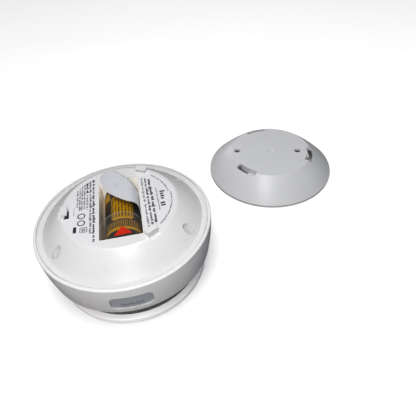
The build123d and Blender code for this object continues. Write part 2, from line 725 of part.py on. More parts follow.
parts["outer_shell"] = outer_shell()
parts["nose_cap"] = nose_cap()
parts["inlet_grille"] = inlet_grille()
parts["back_cover"] = back_cover()
parts["label_left"] = rating_label(-1)
parts["label_right"] = rating_label(1)
parts["housing_screws"] = housing_screws()
parts["screw_plugs"] = screw_plugs()
parts["test_button"] = test_button()
parts["tact_switch"] = tact_switch()
parts["switch_plunger"] = switch_plunger()
parts["battery_cell"] = battery_cell()
parts["battery_positive_cap"] = battery_positive_cap()
parts["contact_negative"] = bay_contact(BAY_Y - BAY_L / 2, CELL_END_Y - CONTACT_GAP)
parts["contact_positive"] = bay_contact(BAY_Y + BAY_L / 2, CELL_END_Y + CELL_L + CELL_NUB + CONTACT_GAP)
parts["pull_tab_film"] = pull_tab_film()
parts["pull_tab_arrow"] = pull_tab_arrow()
parts["pull_tab_leaf"] = pull_tab_leaf()
parts["circuit_board"] = circuit_board()
parts["control_chip"] = control_chip()
parts["boost_coil"] = boost_coil()
parts["reservoir_capacitor"] = reservoir_capacitor()
parts["status_led"] = status_led()
parts["chamber_base"] = chamber_base()
parts["chamber_cover"] = chamber_cover()
parts["insect_mesh"] = insect_mesh()
parts["ir_emitter"] = ir_emitter()
parts["photodiode"] = photodiode()
parts["sounder_housing"] = sounder_housing()
parts["piezo_disc"] = piezo_disc()
parts["piezo_ceramic"] = piezo_ceramic()
parts["sounder_pins"] = sounder_pins()
parts["mounting_bracket"] = mounting_bracket()

os.makedirs("parts", exist_ok=True)
for name, shape in parts.items():
    export_step(shape, f"parts/{name}.step")
    print(name, round(shape.volume, 1))
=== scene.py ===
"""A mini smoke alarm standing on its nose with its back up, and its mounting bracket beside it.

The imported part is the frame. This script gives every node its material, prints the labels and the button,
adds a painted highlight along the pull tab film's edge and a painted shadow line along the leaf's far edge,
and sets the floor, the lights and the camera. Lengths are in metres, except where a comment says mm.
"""
import json
import random
from math import cos, pi, radians, sin

import bmesh
import bpy
from mathutils import Matrix, Vector


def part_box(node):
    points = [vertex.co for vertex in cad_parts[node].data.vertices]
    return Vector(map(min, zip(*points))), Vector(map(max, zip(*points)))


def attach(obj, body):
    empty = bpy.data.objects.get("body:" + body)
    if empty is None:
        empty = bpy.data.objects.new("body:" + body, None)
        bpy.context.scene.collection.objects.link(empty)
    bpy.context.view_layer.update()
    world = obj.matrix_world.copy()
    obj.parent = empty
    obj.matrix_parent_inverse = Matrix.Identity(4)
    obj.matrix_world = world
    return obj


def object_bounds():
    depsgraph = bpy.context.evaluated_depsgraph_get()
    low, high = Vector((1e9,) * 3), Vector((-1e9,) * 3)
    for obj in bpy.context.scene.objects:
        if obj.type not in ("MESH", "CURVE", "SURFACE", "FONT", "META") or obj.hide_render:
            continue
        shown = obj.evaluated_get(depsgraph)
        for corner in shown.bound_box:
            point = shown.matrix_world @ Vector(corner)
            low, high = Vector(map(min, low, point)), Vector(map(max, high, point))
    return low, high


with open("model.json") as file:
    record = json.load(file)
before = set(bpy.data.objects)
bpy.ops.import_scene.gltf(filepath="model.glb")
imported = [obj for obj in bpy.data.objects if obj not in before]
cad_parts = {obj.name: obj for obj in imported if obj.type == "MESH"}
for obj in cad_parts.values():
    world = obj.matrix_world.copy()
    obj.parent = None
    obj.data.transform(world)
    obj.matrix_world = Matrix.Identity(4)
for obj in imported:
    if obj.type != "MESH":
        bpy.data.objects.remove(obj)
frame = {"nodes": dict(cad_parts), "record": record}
cad_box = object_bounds()
NODES = frame["nodes"]
MM = 0.001

# ---- the camera: where it stands, how it points, and its lens ----
CAMERA_AT = Vector((0.02015, -0.14059, 0.16832))
CAMERA_AZIMUTH = 8.49        # degrees clockwise from +Y
CAMERA_DOWN = 44.25          # degrees below level
CAMERA_ROLL = -3.83
LENS_MM = 34.75
SENSOR_MM = 36.0

# ---- places taken from the frame ----
CAD_LOW = Vector(cad_box[0])
LABEL_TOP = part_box("label_left")[1].z
DISC_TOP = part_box("label_left")[0].z
CELL_LOW, CELL_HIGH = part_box("battery_cell")
CELL_AXIS_X = (CELL_LOW.x + CELL_HIGH.x) / 2
CELL_AXIS_Z = (CELL_LOW.z + CELL_HIGH.z) / 2
CELL_RADIUS = (CELL_HIGH.x - CELL_LOW.x) / 2
FILM_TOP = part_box("pull_tab_film")[1].z


# ---- node helpers ----
class Shading:
    """A material's node tree, with short calls for the nodes this scene uses."""

    def __init__(self, name):
        self.material = bpy.data.materials.new(name)
        self.material.use_nodes = True
        self.tree = self.material.node_tree
        self.shader = self.tree.nodes["Principled BSDF"]
        self.place = self.node("ShaderNodeTexCoord").outputs["Object"]

    def node(self, kind, **settings):
        made = self.tree.nodes.new(kind)
        for key, value in settings.items():
            setattr(made, key, value)
        return made

    def feed(self, socket, value):
        """Links a socket to another one, or sets its value."""
        if isinstance(value, bpy.types.NodeSocket):
            self.tree.links.new(value, socket)
        else:
            socket.default_value = value

    def maths(self, operation, *values):
        made = self.node("ShaderNodeMath", operation=operation)
        for socket, value in zip(made.inputs, values):
            self.feed(socket, value)
        return made.outputs[0]

    def fold(self, operation, first, *others):
        """Joins several values with one operation."""
        for other in others:
            first = self.maths(operation, first, other)
        return first

    def distance(self, value, middle):
        return self.maths("ABSOLUTE", self.maths("SUBTRACT", value, middle))

    def axes(self):
        """The place's x, y and z."""
        made = self.node("ShaderNodeSeparateXYZ")
        self.feed(made.inputs[0], self.place)
        return tuple(made.outputs)

    def stretched(self, scale):
        """The place, scaled along each axis, so that a pattern is drawn out."""
        made = self.node("ShaderNodeMapping")
        self.feed(made.inputs["Vector"], self.place)
        made.inputs["Scale"].default_value = scale
        return made.outputs[0]

    def noise(self, size, detail=2.0, roughness=0.5, place=None):
        """Noise whose blobs are about size metres across, from 0 to 1."""
        made = self.node("ShaderNodeTexNoise")
        self.feed(made.inputs["Vector"], place or self.place)
        made.inputs["Scale"].default_value = 1 / size
        made.inputs["Detail"].default_value = detail
        made.inputs["Roughness"].default_value = roughness
        return made.outputs[0]

    def spread(self, value, low, high, from_low=0.3, from_high=0.7):
        """Maps a 0 to 1 pattern onto a range."""
        made = self.node("ShaderNodeMapRange")
        for socket, amount in zip(made.inputs, (value, from_low, from_high, low, high)):
            self.feed(socket, amount)
        return made.outputs[0]

    def blend(self, amount, first, second):
        """Mixes two colours."""
        made = self.node("ShaderNodeMix", data_type="RGBA")
        self.feed(made.inputs["Factor"], amount)
        self.feed(made.inputs["A"], colour4(first))
        self.feed(made.inputs["B"], colour4(second))
        return made.outputs["Result"]

    def bump(self, height, depth, strength):
        made = self.node("ShaderNodeBump")
        made.inputs["Strength"].default_value = strength
        made.inputs["Distance"].default_value = depth
        self.feed(made.inputs["Height"], height)
        self.feed(self.shader.inputs["Normal"], made.outputs[0])

    def set(self, **values):
        """Sets the shader's own sockets. Underscores stand for spaces."""
        for key, value in values.items():
            self.feed(self.shader.inputs[key.replace("_", " ")], value)


def colour4(value):
    """A colour with its alpha, or a socket as it is."""
    if isinstance(value, bpy.types.NodeSocket) or len(value) == 4:
        return value
    return (*value, 1.0)


def shade(colour, factor):
    return tuple(channel * factor for channel in colour)


# ---- materials ----
DRIFT_SIZE = 18 * MM          # slow change of colour over a moulding
GLOSS_SIZE = 6 * MM
GLOSS_SPREAD = 0.04
GRAIN_SIZE = 0.35 * MM        # spark-eroded grain of the tool
GRAIN_DEPTH = 0.012 * MM
MOTTLE = 0.03
PLASTIC_IOR = 1.5


def drifting(look, colour):
    """A plastic's colour, which drifts slowly over its surface."""
    drift = look.noise(DRIFT_SIZE, detail=3.0)
    return look.blend(look.spread(drift, 0.0, 1.0), shade(colour, 1 - MOTTLE), colour)


def moulded_surface(look, roughness, grain=GRAIN_SIZE, depth=GRAIN_DEPTH):
    """Uneven gloss over a fine grain."""
    gloss = look.spread(look.noise(GLOSS_SIZE), roughness - GLOSS_SPREAD, roughness + GLOSS_SPREAD)
    look.set(Roughness=gloss, IOR=PLASTIC_IOR)
    look.bump(look.noise(grain), depth, 0.35)


def moulded(name, colour, roughness, coat=0.0, **surface):
    """Plain moulded plastic."""
    look = Shading(name)
    look.set(Base_Color=drifting(look, colour), Coat_Weight=coat, Coat_Roughness=0.25)
    moulded_surface(look, roughness, **surface)
    return look.material


COVER_WHITE = (0.84, 0.83, 0.83)
BAY_HALF_X = 9.7 * MM         # just outside the battery bay's walls
BAY_SKIN = 0.5 * MM           # how far inside it the side walls' faces are
BAY_NEAR_Y = -21.2 * MM
BAY_FAR_Y = 18.4 * MM
BAY_TOP = DISC_TOP - 0.2 * MM
BAY_SOFT = 0.1 * MM           # half the width of the bay's soft edges
# painted light: the bay's lighter cream tone, and the painted brown reflection of the amber cell on its side
# walls
BAY_PAINTED_CREAM = (0.93, 0.89, 0.82)
BAY_REFLECTED_BROWN = (0.36, 0.25, 0.12)
REFLECTION_TOP = DISC_TOP - 1 * MM     # the side walls turn from painted cream light to a painted brown reflection of the amber cell between these heights
REFLECTION_FOOT = DISC_TOP - 6 * MM
BAY_PAINTED_GLOW = 0.28               # painted light: an emission that stands in for light bounced into the bay
PAINTED_GLOW_LEAST = 0.12             # its share at the bay's near end
PAINTED_GLOW_FROM_Y = -2 * MM
PAINTED_GLOW_FULL_Y = 15 * MM


def cover_plastic():
    """The back cover's moulded plastic. Inside the battery bay it carries painted light: a lighter cream tone
    and an emission, with a painted brown reflection of the amber cell low on the side walls.
    """
    look = Shading("cover_white")
    x, along, height = look.axes()
    across = look.maths("ABSOLUTE", x)

    def below(value, edge):
        return look.spread(value, 1.0, 0.0, edge - BAY_SOFT, edge + BAY_SOFT)

    def above(value, edge):
        return look.spread(value, 0.0, 1.0, edge - BAY_SOFT, edge + BAY_SOFT)

    in_length = look.maths("MULTIPLY", above(along, BAY_NEAR_Y), below(along, BAY_FAR_Y))
    in_bay = look.fold("MULTIPLY", below(across, BAY_HALF_X), in_length, below(height, BAY_TOP))
    streak = look.spread(look.noise(3 * MM, detail=3.0), -0.2, 0.2)
    depth = look.maths("ADD", look.spread(height, 1.0, 0.0, REFLECTION_FOOT, REFLECTION_TOP), streak)
    side = above(across, BAY_HALF_X - BAY_SKIN)
    # painted light and reflection: cream over the bay, brown low on its side walls
    bay_painted_tone = look.blend(look.maths("MULTIPLY", side, depth), BAY_PAINTED_CREAM, BAY_REFLECTED_BROWN)
    far = look.spread(along, PAINTED_GLOW_LEAST, 1.0, PAINTED_GLOW_FROM_Y, PAINTED_GLOW_FULL_Y)
    # painted light: the bay emits light of that colour, more towards its far end
    painted_glow = look.blend(look.maths("MULTIPLY", in_bay, far), (0.0, 0.0, 0.0), bay_painted_tone)
    look.set(Base_Color=look.blend(in_bay, drifting(look, COVER_WHITE), bay_painted_tone))
    look.set(Emission_Color=painted_glow, Emission_Strength=BAY_PAINTED_GLOW)
    moulded_surface(look, 0.30)
    return look.material


LEAF_TRIANGLE = ((-2.8, 11.2), (1.0, 6.2), (0.0, 13.9))   # pressed into the leaf, in mm
PRESS_SOFT = 0.25 * MM
PRESS_DEPTH = 0.06 * MM


def leaf_paper(colour):
    """The pull tab's white leaf: smooth coated paper with a faint pressed triangle."""
    look = Shading("leaf_white")
    fibre = look.noise(0.8 * MM, detail=4.0)
    x, y, _ = look.axes()
    inside = []
    for i in range(3):
        start, end = (Vector(LEAF_TRIANGLE[k]) * MM for k in (i, (i + 1) % 3))
        inward = Vector((start.y - end.y, end.x - start.x)).normalized()
        away = look.maths("ADD", look.maths("MULTIPLY", x, inward.x), look.maths("MULTIPLY", y, inward.y))
        inside.append(look.maths("SUBTRACT", away, start.dot(inward)))
    pressed = look.spread(look.fold("MINIMUM", *inside), 0.0, 1.0, -PRESS_SOFT, PRESS_SOFT)
    base = look.blend(look.spread(fibre, 0.0, 1.0), shade(colour, 0.98), colour)
    # painted shade: the pressed triangle is also painted a shade darker, where its hollow would lie in shade
    base = look.blend(look.maths("MULTIPLY", pressed, 0.35), base, shade(colour, 0.8))
    look.set(Base_Color=base, Roughness=look.spread(fibre, 0.3, 0.38), IOR=PLASTIC_IOR)
    look.bump(look.maths("SUBTRACT", look.maths("MULTIPLY", fibre, 0.03), pressed), PRESS_DEPTH, 0.5)
    return look.material


def metal(name, colour, roughness, stretch=(1.0, 1.0, 1.0)):
    """Plated or rolled metal, with fine marks drawn out along one axis."""
    look = Shading(name)
    marks = look.noise(0.25 * MM, detail=4.0, place=look.stretched(stretch))
    base = look.blend(look.spread(marks, 0.0, 1.0), shade(colour, 0.82), colour)
    gloss = look.spread(marks, roughness - 0.06, roughness + 0.1)
    look.set(Base_Color=base, Roughness=gloss, Metallic=1.0)
    look.bump(marks, 0.01 * MM, 0.3)
    return look.material


def paper(name, colour):
    """Coated label paper: faint fibre clouds under a soft gloss."""
    look = Shading(name)
    fibre = look.noise(0.5 * MM, detail=6.0, roughness=0.7)
    base = look.blend(look.spread(fibre, 0.0, 1.0), shade(colour, 0.955), colour)
    look.set(Base_Color=base, Roughness=look.spread(fibre, 0.38, 0.5), IOR=1.45)
    look.bump(fibre, 0.008 * MM, 0.3)
    return look.material


def ink(name, colour, roughness=0.5):
    look = Shading(name)
    blot = look.noise(0.3 * MM, detail=4.0)
    base = look.blend(look.spread(blot, 0.0, 1.0), colour, shade(colour, 1.5))
    look.set(Base_Color=base, Roughness=look.spread(blot, roughness - 0.08, roughness + 0.08))
    return look.material


def clear_plastic(name, colour, alpha, roughness, stretch=(1.0, 1.0, 1.0)):
    """Thin clear sheet: mostly see-through, with a faint streaked haze and a sharp gloss."""
    look = Shading(name)
    haze = look.noise(4 * MM, detail=4.0, place=look.stretched(stretch))
    look.set(
        Base_Color=look.blend(look.spread(haze, 0.0, 1.0), shade(colour, 0.85), colour),
        Roughness=look.spread(haze, roughness, roughness + 0.1),
        Alpha=look.spread(haze, alpha * 0.4, alpha * 1.6),
        IOR=PLASTIC_IOR,
    )
    look.bump(look.noise(3 * MM), 0.05 * MM, 0.3)
    return look.material


TRACE_PITCH = 3.0 * MM


def circuit_green():
    """Solder mask with copper traces showing through as lighter lines."""
    look = Shading("board_green")
    trace = look.node("ShaderNodeTexVoronoi", feature="DISTANCE_TO_EDGE", distance="MANHATTAN")
    look.feed(trace.inputs["Vector"], look.place)
    trace.inputs["Scale"].default_value = 1 / TRACE_PITCH
    line = look.spread(trace.outputs["Distance"], 1.0, 0.0, 0.03, 0.07)
    base = look.blend(line, (0.02, 0.12, 0.04), (0.06, 0.26, 0.1))
    look.set(Base_Color=base, Roughness=look.spread(look.noise(2 * MM), 0.28, 0.4))
    look.bump(line, 0.03 * MM, 0.5)
    return look.material


AMBER = (0.46, 0.225, 0.0)
SLEEVE = (0.012, 0.010, 0.009)
PRINT_SOFT = 0.12 * MM       # half the width of a printed edge
PANEL_CENTRE_DEG = 5.4       # azimuth of the printed panel about the cell's axis, 0 at the top
PANEL_HALF_DEG = 35.0
PANEL_NEAR_Y = -8.2 * MM
PANEL_FAR_Y = 8.0 * MM
PANEL_ROUND = 1.8 * MM
PANEL_MARGIN = 1.6 * MM      # clear of print at the panel's ends
PANEL_LINES = 7
WORD_LENGTH = 0.9 * MM
WORD_OFFSET = 7.31           # keeps the words of neighbouring lines unlike
BAR_PITCH = 0.42 * MM
BAR_NEAR_Y = -13.2 * MM      # the fine bars run from here to just short of the panel
BAR_FAR_Y = PANEL_NEAR_Y - 0.6 * MM
BAR_FADE_DEG = (50, 75)      # they fade round the cell's sides
RING_Y = -13.9 * MM
RING_HALF = 0.85 * MM
FAR_RING_Y = 10.0 * MM
FAR_RING_HALF = 3.0 * MM
FAR_GAP_DEG = PANEL_HALF_DEG + 5     # the far ring is broken over the panel


def within(look, value, middle, half, soft=PRINT_SOFT):
    """1 where value is within half of middle, falling to 0 over a soft edge."""
    return look.spread(look.distance(value, middle), 1.0, 0.0, half - soft, half + soft)


def rounded_panel(look, girth, along, half_girth, middle_y, half_length):
    """1 inside a rectangle with round corners."""
    squares = []
    for value, middle, half in ((girth, 0.0, half_girth), (along, middle_y, half_length)):
        beyond = look.maths("SUBTRACT", look.distance(value, middle), half - PANEL_ROUND)
        beyond = look.maths("MAXIMUM", beyond, 0.0)
        squares.append(look.maths("MULTIPLY", beyond, beyond))
    corner = look.maths("SQRT", look.maths("ADD", *squares))
    return look.spread(corner, 1.0, 0.0, PANEL_ROUND - PRINT_SOFT, PANEL_ROUND + PRINT_SOFT)


def panel_words(look, girth, along, pitch):
    """Lines of dark print that run along the cell, broken like words."""
    row = look.maths("PINGPONG", girth, pitch / 2)
    in_row = look.spread(row, 1.0, 0.0, 0.20 * pitch, 0.28 * pitch)
    line = look.maths("ROUND", look.maths("DIVIDE", girth, pitch))
    place = look.node("ShaderNodeCombineXYZ")
    look.feed(place.inputs[0], look.maths("MULTIPLY", line, WORD_OFFSET))
    look.feed(place.inputs[1], look.maths("DIVIDE", along, WORD_LENGTH))
    words = look.node("ShaderNodeTexNoise", noise_dimensions="2D")
    look.feed(words.inputs["Vector"], place.outputs[0])
    words.inputs["Scale"].default_value = 1.0
    words.inputs["Detail"].default_value = 3.0
    return look.maths("MULTIPLY", in_row, look.spread(words.outputs[0], 0.0, 1.0, 0.36, 0.42))


def cell_sleeve():
    """Black shrink sleeve with an amber print: a panel of dark lines, fine bars, and a ring at each end."""
    look = Shading("cell_sleeve")
    x, along, z = look.axes()
    across = look.maths("SUBTRACT", x, CELL_AXIS_X)
    above = look.maths("SUBTRACT", z, CELL_AXIS_Z)
    turn = look.maths("ARCTAN2", across, above)
    centred = look.maths("SUBTRACT", turn, radians(PANEL_CENTRE_DEG))
    girth = look.maths("MULTIPLY", centred, CELL_RADIUS)

    half_girth = radians(PANEL_HALF_DEG) * CELL_RADIUS
    half_length = (PANEL_FAR_Y - PANEL_NEAR_Y) / 2
    middle_y = (PANEL_FAR_Y + PANEL_NEAR_Y) / 2
    panel = rounded_panel(look, girth, along, half_girth, middle_y, half_length)
    words = panel_words(look, girth, along, 2 * half_girth / PANEL_LINES)
    lines = look.maths("MULTIPLY", words, within(look, along, middle_y, half_length - PANEL_MARGIN))
    unprinted = look.maths("SUBTRACT", 1.0, look.maths("MULTIPLY", lines, 0.8))
    panel_print = look.maths("MULTIPLY", panel, unprinted)

    stripe = look.spread(look.maths("PINGPONG", girth, BAR_PITCH), 0.0, 0.75, 0.18 * MM, 0.26 * MM)
    bar_zone = within(look, along, (BAR_FAR_Y + BAR_NEAR_Y) / 2, (BAR_FAR_Y - BAR_NEAR_Y) / 2)
    fade_from, fade_to = (radians(angle) for angle in BAR_FADE_DEG)
    fade = look.spread(look.maths("ABSOLUTE", centred), 1.0, 0.0, fade_from, fade_to)
    bars = look.fold("MULTIPLY", stripe, bar_zone, fade)
    ring = within(look, along, RING_Y, RING_HALF)
    far_gap = look.maths("SUBTRACT", 1.0, within(look, centred, 0.0, radians(FAR_GAP_DEG), radians(1)))
    far_ring = look.maths("MULTIPLY", within(look, along, FAR_RING_Y, FAR_RING_HALF), far_gap)
    amber = look.fold("MAXIMUM", panel_print, bars, ring, far_ring)

    worn = look.noise(1.2 * MM, detail=3.0)
    amber_tone = look.blend(look.spread(worn, 0.0, 1.0), shade(AMBER, 0.85), shade(AMBER, 1.05))
    sleeve_tone = look.blend(look.spread(worn, 0.0, 1.0), SLEEVE, shade(SLEEVE, 1.8))
    look.set(Base_Color=look.blend(amber, sleeve_tone, amber_tone), IOR=PLASTIC_IOR)
    look.set(Roughness=look.spread(worn, 0.24, 0.36))
    look.bump(look.noise(0.9 * MM), 0.03 * MM, 0.3)
    return look.material


CASE_WHITE = (0.825, 0.82, 0.82)


def make_materials():
    return {
        "shell_white": moulded("shell_white", CASE_WHITE, 0.30, coat=0.15),
        "nose_white": moulded("nose_white", CASE_WHITE, 0.30, coat=0.15),
        "grille_grey": moulded("grille_grey", (0.22, 0.22, 0.22), 0.55),
        "cover_white": cover_plastic(),
        "label_paper": paper("label_paper", (0.84, 0.84, 0.87)),
        "screw_steel": metal("screw_steel", (0.6, 0.6, 0.6), 0.3),
        "button_grey": moulded("button_grey", (0.42, 0.44, 0.475), 0.3, coat=0.3),
        "switch_black": moulded("switch_black", (0.02, 0.02, 0.02), 0.5),
        "switch_stem": moulded("switch_stem", (0.6, 0.56, 0.48), 0.45),
        "cell_sleeve": cell_sleeve(),
        "nickel": metal("nickel", (0.7, 0.68, 0.64), 0.2),
        "contact_steel": metal("contact_steel", (0.72, 0.66, 0.56), 0.28, (1.0, 1.0, 0.15)),
        "clear_film": clear_plastic("clear_film", (0.55, 0.52, 0.48), 0.025, 0.06, (2.0, 0.4, 0.4)),
        # painted highlight: the pale bead along the film's rounded end
        "film_edge": clear_plastic("film_edge", (0.85, 0.82, 0.8), 0.22, 0.2),
        "arrow_red": ink("arrow_red", (0.50, 0.014, 0.0), 0.45),
        "leaf_white": leaf_paper((0.68, 0.69, 0.73)),
        # painted shadow: the dark line under the leaf's far edge
        "leaf_shadow_line": ink("leaf_shadow_line", (0.06, 0.052, 0.03)),
        "board_green": circuit_green(),
        "chip_black": moulded("chip_black", (0.02, 0.02, 0.022), 0.45),
        "coil_black": moulded("coil_black", (0.05, 0.045, 0.04), 0.7, grain=0.6 * MM, depth=0.05 * MM),
        "capacitor_can": metal("capacitor_can", (0.7, 0.7, 0.72), 0.3, (0.2, 1.0, 1.0)),
        "led_clear": clear_plastic("led_clear", (0.8, 0.85, 0.9), 0.5, 0.05),
        "chamber_black": moulded("chamber_black", (0.012,) * 3, 0.8, grain=0.5 * MM, depth=0.04 * MM),
        "mesh_steel": metal("mesh_steel", (0.5, 0.5, 0.52), 0.4),
        "sounder_black": moulded("sounder_black", (0.025, 0.025, 0.025), 0.5),
        "piezo_brass": metal("piezo_brass", (0.72, 0.5, 0.2), 0.25),
        "ceramic_white": paper("ceramic_white", (0.75, 0.73, 0.68)),
        "bracket_white": moulded("bracket_white", (0.71, 0.715, 0.73), 0.33),
        "plug_white": moulded("plug_white", (0.66, 0.65, 0.645), 0.4),
        "print_black": ink("print_black", (0.012, 0.012, 0.014)),
        "print_grey": ink("print_grey", (0.07, 0.07, 0.075)),
        "button_print": ink("button_print", (0.30, 0.315, 0.345), 0.35),
    }


def dress_nodes(materials):
    """Gives each CAD node the material of its slot in the record. The screw plugs are a shade darker."""
    for part in frame["record"]["subparts"]:
        mesh = NODES[part["node"]].data
        mesh.materials.clear()
        mesh.materials.append(materials[part["material_slot"]])
    NODES["screw_plugs"].data.materials[0] = materials["plug_white"]


# ---- mesh helpers ----
def piece(name, bm, material, body):
    """Turns a bmesh into an object that rides on a body."""
    bmesh.ops.recalc_face_normals(bm, faces=bm.faces)
    mesh = bpy.data.meshes.new(name)
    bm.to_mesh(mesh)
    bm.free()
    mesh.materials.append(material)
    made = bpy.data.objects.new(name, mesh)
    bpy.context.scene.collection.objects.link(made)
    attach(made, body)
    return made


PRINT_LOW = LABEL_TOP - 0.01 * MM
PRINT_HIGH = LABEL_TOP + 0.02 * MM


def printed(bm, outline):
    """A printed patch on the labels with that outline, a list of (x, y)."""
    bottom = [bm.verts.new((x, y, PRINT_LOW)) for x, y in outline]
    top = [bm.verts.new((x, y, PRINT_HIGH)) for x, y in outline]
    bm.faces.new(bottom[::-1])
    bm.faces.new(top)
    count = len(outline)
    for i in range(count):
        j = (i + 1) % count
        bm.faces.new((bottom[i], bottom[j], top[j], top[i]))


def printed_mm(bm, outline):
    printed(bm, [(x * MM, y * MM) for x, y in outline])


def stroke(bm, start, end, width):
    """A straight printed stroke between two points, in mm."""
    start, end = Vector(start), Vector(end)
    run = end - start
    side = Vector((-run.y, run.x)).normalized() * width / 2
    printed_mm(bm, (start - side, end - side, end + side, start + side))


CHARACTER_PITCH = 0.62       # both in heights of the print
WORD_GAP = 0.55


def text_row(bm, rng, at, length, height, fill):
    """A row of small upright blocks that reads as small print from afar. at maps (along, up) to (x, y)."""
    along = 0.0
    pitch = CHARACTER_PITCH * height
    while along < length:
        for _ in range(rng.randint(2, 8)):
            if along + pitch * fill > length:
                break
            low = rng.choice((0.0, 0.0, 0.0, -0.22)) * height
            high = rng.choice((0.55, 0.6, 0.66, 0.9)) * height
            outline = [
                at(along, low),
                at(along + pitch * fill, low),
                at(along + pitch * fill, high),
                at(along, high),
            ]
            printed(bm, outline)
            along += pitch
        along += WORD_GAP * height


def row_between(bm, rng, start, end, height, fill):
    """Small print from one point to another, in mm, with its top to the left of the direction of travel."""
    begin = Vector(start) * MM
    run = Vector(end) * MM - begin
    step = run.normalized()
    up = Vector((-step.y, step.x))

    def at(along, rise):
        return tuple(begin + step * along + up * (rise - height * MM / 2))

    text_row(bm, rng, at, run.length, height * MM, fill)


def row_round(bm, rng, radius, start, end, height, fill):
    """Small print along an arc about the alarm's axis, in mm, between two azimuths in degrees."""
    turn = 1 if end > start else -1

    def at(along, rise):
        angle = radians(start) + turn * along / (radius * MM)
        out = radius * MM - turn * (rise - height * MM / 2)
        return (out * cos(angle), out * sin(angle))

    text_row(bm, rng, at, radians(abs(end - start)) * radius * MM, height * MM, fill)


def ring_mark(bm, centre, radius, width, steps=14):
    """A printed ring, in mm."""
    outer, inner = radius + width / 2, radius - width / 2
    angles = [radians(360 * i / steps) for i in range(steps + 1)]
    outline = [(centre[0] + outer * cos(a), centre[1] + outer * sin(a)) for a in angles]
    outline += [(centre[0] + inner * cos(a), centre[1] + inner * sin(a)) for a in reversed(angles)]
    for i in range(steps):
        quad = [outline[i], outline[i + 1], outline[-2 - i], outline[-1 - i]]
        printed_mm(bm, quad)


# ---- printing on the labels, in mm ----
# rows of small print: start, end, height, and the share of each place that is filled
LEFT_BOLD = (
    ((-11.7, 20.6), (-11.4, -21.6), 1.35, 0.82),
    ((-13.2, 19.6), (-13.0, -15.8), 1.1, 0.74),
    ((-14.6, 18.5), (-14.6, 10.5), 1.2, 0.85),
)
LEFT_FINE = (
    ((-14.6, 10.0), (-14.6, -0.4), 0.95, 0.7),
    ((-15.9, 17.7), (-15.9, -0.1), 0.95, 0.7),
    ((-17.0, 16.7), (-17.0, -0.7), 0.95, 0.7),
    ((-18.0, 15.2), (-18.0, -0.7), 0.95, 0.7),
    ((-19.1, 14.1), (-19.1, 1.3), 0.95, 0.7),
    ((-20.6, 1.9), (-20.5, -3.6), 0.6, 0.62),
)
RIGHT_BOLD = (
    ((15.0, 14.2), (16.0, -16.4), 1.5, 0.85),
    ((13.2, 15.4), (14.1, -17.4), 1.3, 0.78),
    ((20.3, 4.4), (20.7, -6.8), 2.6, 0.62),
)
RIGHT_FINE = (
    ((11.5, 15.9), (11.8, -1.6), 1.0, 0.7),
    ((11.9, -3.4), (12.3, -18.2), 1.0, 0.7),
    ((17.7, 7.0), (18.1, -9.4), 0.85, 0.6),
)
# rows round the right label's edge: radius, azimuth at the start and end, height, and the share filled
RIGHT_ROUND = ((23.6, 46, 8, 0.75, 0.7), (24.4, 6, -45, 0.75, 0.7))
BAR_MARK = ((-20.6, -10.5), (-20.6, -14.1), (-19.2, -14.1), (-19.2, -10.5))
ARROW_MARK = (
    (-26.0, -1.4), (-24.5, -1.1), (-24.5, 0.6), (-22.9, 0.6), (-22.7, -4.4), (-25.3, -4.4), (-24.7, -3.0),
)
RING_MARKS = ((-17.2, -4.2), (-17.2, -8.6))
RING_MARK_R = 1.55
RING_MARK_W = 0.55
SQUARE_MARK = ((-17.6, -11.6), (-14.6, -11.6), (-14.6, -14.4), (-17.6, -14.4))
SQUARE_MARK_W = 0.3
SQUARE_RING_AT = (-16.1, -13.0)
SQUARE_RING_R = 0.7
SQUARE_RING_W = 0.5


def left_label_print(materials):
    """Rows of small print beside the bay, generic round and square marks, a bar, and the arrow by the lug."""
    rng = random.Random(4)
    bold = bmesh.new()
    for row in LEFT_BOLD:
        row_between(bold, rng, *row)
    printed_mm(bold, BAR_MARK)
    printed_mm(bold, ARROW_MARK)
    for centre in RING_MARKS:
        ring_mark(bold, centre, RING_MARK_R, RING_MARK_W)
    piece("label_left_print", bold, materials["print_black"], "alarm")
    fine = bmesh.new()
    for row in LEFT_FINE:
        row_between(fine, rng, *row)
    for i in range(4):
        stroke(fine, SQUARE_MARK[i], SQUARE_MARK[(i + 1) % 4], SQUARE_MARK_W)
    ring_mark(fine, SQUARE_RING_AT, SQUARE_RING_R, SQUARE_RING_W)
    piece("label_left_fine_print", fine, materials["print_grey"], "alarm")


def right_label_print(materials):
    """Bold rows beside the bay, one large generic row, thin rows, and rows of print round the edge."""
    rng = random.Random(9)
    bold = bmesh.new()
    for row in RIGHT_BOLD:
        row_between(bold, rng, *row)
    for row in RIGHT_ROUND:
        row_round(bold, rng, *row)
    piece("label_right_print", bold, materials["print_black"], "alarm")
    fine = bmesh.new()
    for row in RIGHT_FINE:
        row_between(fine, rng, *row)
    piece("label_right_fine_print", fine, materials["print_grey"], "alarm")


# ---- the pull tab's own details ----
FILM_TIP_Y = -13.5 * MM      # centre of the tongue's rounded end
FILM_TIP_R = 9.0 * MM
FILM_RIM_R = 0.08 * MM
FILM_RIM_SUNK = 0.06 * MM
FILM_RIM_FROM, FILM_RIM_TO = 8, 172      # degrees round the end
FILM_RIM_STEPS = 40


def tube_along(bm, points, radius, sides=8):
    """A round bead that follows a line of points, closed at both ends."""
    rings = []
    for i, point in enumerate(points):
        ahead = (points[min(i + 1, len(points) - 1)] - points[max(i - 1, 0)]).normalized()
        side = ahead.cross(Vector((0, 0, 1))).normalized()
        up = side.cross(ahead)
        ring = []
        for k in range(sides):
            angle = 2 * pi * k / sides
            ring.append(bm.verts.new(point + side * radius * cos(angle) + up * radius * sin(angle)))
        rings.append(ring)
    for first, second in zip(rings, rings[1:]):
        for k in range(sides):
            j = (k + 1) % sides
            bm.faces.new((first[k], first[j], second[j], second[k]))
    bm.faces.new(rings[0][::-1])
    bm.faces.new(rings[-1])


